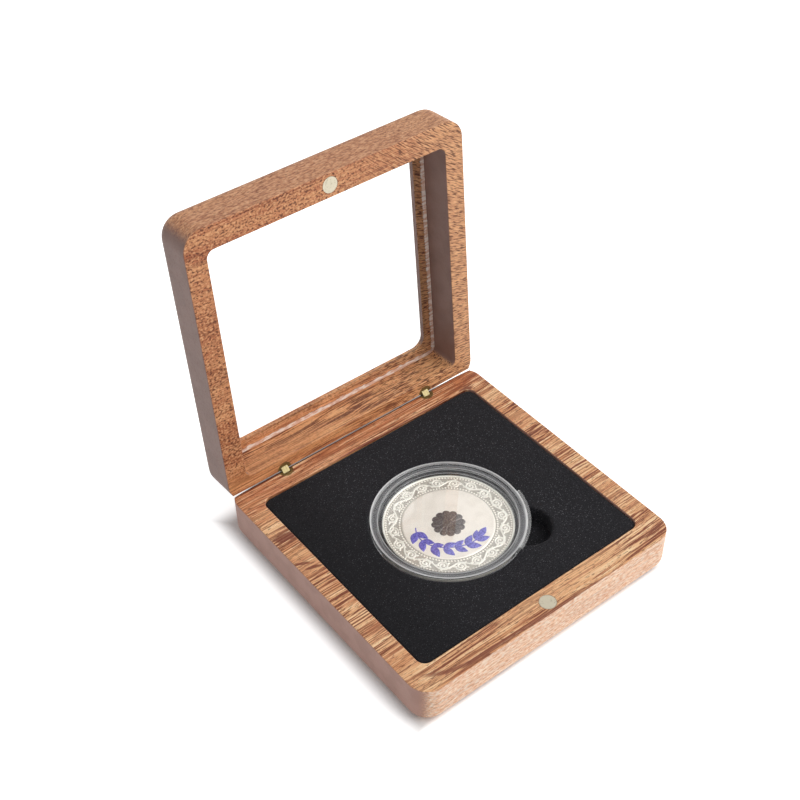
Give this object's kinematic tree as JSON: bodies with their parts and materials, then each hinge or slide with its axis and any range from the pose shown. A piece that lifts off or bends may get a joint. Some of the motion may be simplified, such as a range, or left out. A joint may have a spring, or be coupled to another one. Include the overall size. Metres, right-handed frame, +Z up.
{
  "type": "coin display case",
  "caption": "Square hardwood display case with a hinged window lid, a velvet insert and a coin in a clear capsule.",
  "frame": {"origin": "centre of the base's underside", "axes": "+Z up, +X along the hinge line to the right seen from the front, +Y towards the hinges at the back"},
  "size_m": [0.096, 0.1149, 0.1076],
  "materials": {
    "hardwood": "oiled, satin, reddish brown with dark pores",
    "velvet": "black flocked velvet",
    "foam": "dark foam",
    "card": "grey card",
    "acrylic": "clear, polished",
    "capsule_plastic": "clear, polished",
    "coin_metal": "silver-plated, matte centre and bright relief",
    "brass": "pale polished brass",
    "link_brass": "pale brass",
    "steel": "drawn steel",
    "nickel": "nickel plate"
  },
  "bodies": {
    "case_base": {"base_body": "hardwood", "insert_backing": "card", "insert_foam": "foam", "velvet_cover": "velvet", "base_magnet": "nickel", "left_base_barrel": "brass", "right_base_barrel": "brass", "left_base_pin": "steel", "right_base_pin": "steel"},
    "hinge_links": {"left_link_plates": "link_brass", "right_link_plates": "link_brass"},
    "lid": {"lid_frame": "hardwood", "window_pane": "acrylic", "lid_magnet": "nickel", "left_lid_barrel": "brass", "right_lid_barrel": "brass", "left_lid_pin": "steel", "right_lid_pin": "steel"},
    "capsule_bottom": {"capsule_lower": "capsule_plastic"},
    "coin": {"coin": "coin_metal"},
    "capsule_top": {"capsule_upper": "capsule_plastic"}
  },
  "joints": [
    {"name": "link_fold", "type": "hinge", "parent": "case_base", "child": "hinge_links", "pos_m": [0, 0.045, 0.01367], "axis": [1, 0, 0], "range_deg": [0, 47.25]},
    {"name": "lid_fold", "type": "hinge", "parent": "case_base", "child": "lid", "pos_m": [0, 0.04538, 0.01455], "axis": [1, 0, 0], "range_deg": [0, 94.5]},
    {"name": "capsule_lift", "type": "slide", "parent": "case_base", "child": "capsule_bottom", "axis": [0, 0, 1], "range_m": [0, 0.0056]},
    {"name": "coin_lift", "type": "slide", "parent": "capsule_bottom", "child": "coin", "axis": [0, 0, 1], "range_m": [0, 0.0016]},
    {"name": "capsule_top_lift", "type": "slide", "parent": "coin", "child": "capsule_top", "axis": [0, 0, 1], "range_m": [0, 0.0022]}
  ],
  "couplings": [
    {"joint": "link_fold", "follows": "lid_fold", "ratio": 0.5}
  ]
}
